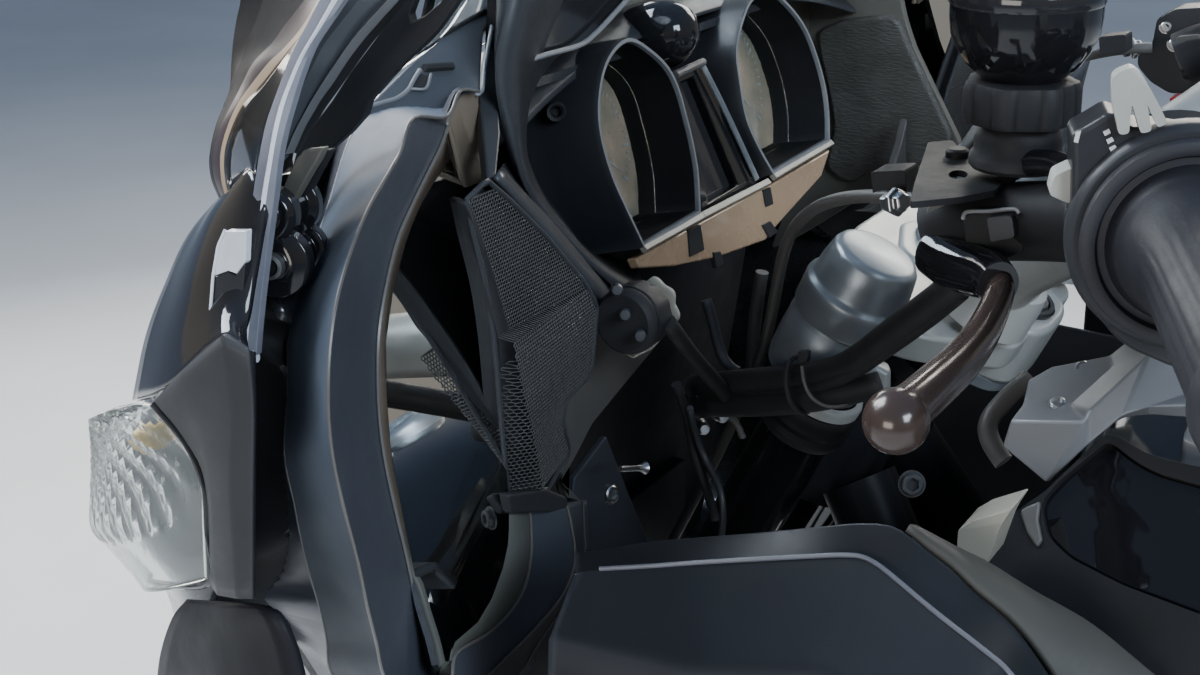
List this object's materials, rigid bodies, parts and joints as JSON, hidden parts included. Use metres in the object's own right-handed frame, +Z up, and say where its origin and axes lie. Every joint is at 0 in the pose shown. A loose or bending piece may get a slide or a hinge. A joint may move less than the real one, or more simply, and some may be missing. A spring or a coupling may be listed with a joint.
{
  "type": "touring motorcycle",
  "caption": "Touring motorcycle with full fairing, steering front fork, free-rolling wheels, hinged pannier lids, centre stand and side stand.",
  "frame": {"origin": "on the floor under the middle of the overall length, on the centre plane", "axes": "+X forward, +Y to the rider's left, +Z up"},
  "size_m": [2.2299, 0.905, 1.43],
  "materials": {
    "silver_alloy": "fine cast satin",
    "black_plastic": "fine grained moulding",
    "satin_black_plastic": "satin moulding",
    "body_paint": "gloss dark graphite paint",
    "silver_paint": "matt silver grey paint",
    "black_metal": "black powder coat",
    "steel": "brushed",
    "chrome": "polished",
    "fork_black": "gloss black hard coat",
    "rubber": "matt rubber",
    "tyre": "matt tyre rubber",
    "rim_paint": "satin dark grey",
    "engine_paint": "satin grey casting",
    "clear_plastic": "clear sheet",
    "lens_clear": "clear lens",
    "lens_red": "red lens",
    "mirror_glass": "silvered glass",
    "dial_glass": "glazed dials",
    "seat_vinyl": "grained seat cover"
  },
  "bodies": {
    "chassis": {"cylinder_heads": "engine_paint", "main_frame": "black_metal", "foot_rests": "rubber", "front_a_arm": "black_metal", "shock_absorbers": "steel", "rear_swingarm": "engine_paint", "power_unit": "engine_paint", "exhaust": "chrome", "headlamp": "lens_clear", "nose_fairing": "body_paint", "side_fairings": "satin_black_plastic", "mirror_housings": "satin_black_plastic", "mirror_glasses": "mirror_glass", "front_indicators": "lens_clear", "cockpit_panel": "black_plastic", "speaker_grilles": "black_plastic", "instrument_pods": "dial_glass", "windscreen": "clear_plastic", "wind_deflectors": "clear_plastic", "fuel_tank": "body_paint", "tank_trims": "silver_paint", "rider_seat": "seat_vinyl", "passenger_seat": "seat_vinyl", "tail_rack": "satin_black_plastic", "tail_lamp": "lens_red", "rear_mudguard": "black_plastic", "pannier_cases": "satin_black_plastic"},
    "steering": {"fork_legs": "fork_black", "fork_bridge": "silver_alloy", "handlebar": "silver_alloy", "hand_grips": "rubber", "hand_controls": "black_plastic", "accessory_mount": "black_plastic", "control_hoses": "rubber", "front_mudguard": "body_paint", "brake_calipers": "black_metal"},
    "front_wheel": {"front_tyre": "tyre", "front_rim": "rim_paint", "front_brake_discs": "steel"},
    "rear_wheel": {"rear_tyre": "tyre", "rear_rim": "rim_paint", "rear_brake_disc": "steel"},
    "left_lid": {"left_pannier_lid": "body_paint"},
    "right_lid": {"right_pannier_lid": "body_paint"},
    "centre_stand": {"centre_stand": "black_metal"},
    "side_stand": {"side_stand": "black_metal"}
  },
  "joints": [
    {"name": "steering_turn", "type": "hinge", "parent": "chassis", "child": "steering", "pos_m": [0.925, 0, 0], "axis": [-0.4478, 0, 0.8941], "range_deg": [-28, 28]},
    {"name": "front_wheel_spin", "type": "hinge", "parent": "steering", "child": "front_wheel", "pos_m": [0.815, 0, 0.3], "axis": [0, 1, 0], "continuous": true},
    {"name": "rear_wheel_spin", "type": "hinge", "parent": "chassis", "child": "rear_wheel", "pos_m": [-0.67, 0, 0.345], "axis": [0, 1, 0], "continuous": true},
    {"name": "left_lid_hinge", "type": "hinge", "parent": "chassis", "child": "left_lid", "pos_m": [-0.64, 0.3, 0.455], "axis": [-1, 0, 0], "range_deg": [0, 70]},
    {"name": "right_lid_hinge", "type": "hinge", "parent": "chassis", "child": "right_lid", "pos_m": [-0.64, -0.3, 0.455], "axis": [1, 0, 0], "range_deg": [0, 70]},
    {"name": "centre_stand_fold", "type": "hinge", "parent": "chassis", "child": "centre_stand", "pos_m": [-0.21, 0, 0.23], "axis": [0, 1, 0], "range_deg": [0, 68]},
    {"name": "side_stand_fold", "type": "hinge", "parent": "chassis", "child": "side_stand", "pos_m": [0.04, 0.146, 0.225], "axis": [-0.0847, -0.9515, -0.2956], "range_deg": [0, 89]}
  ]
}
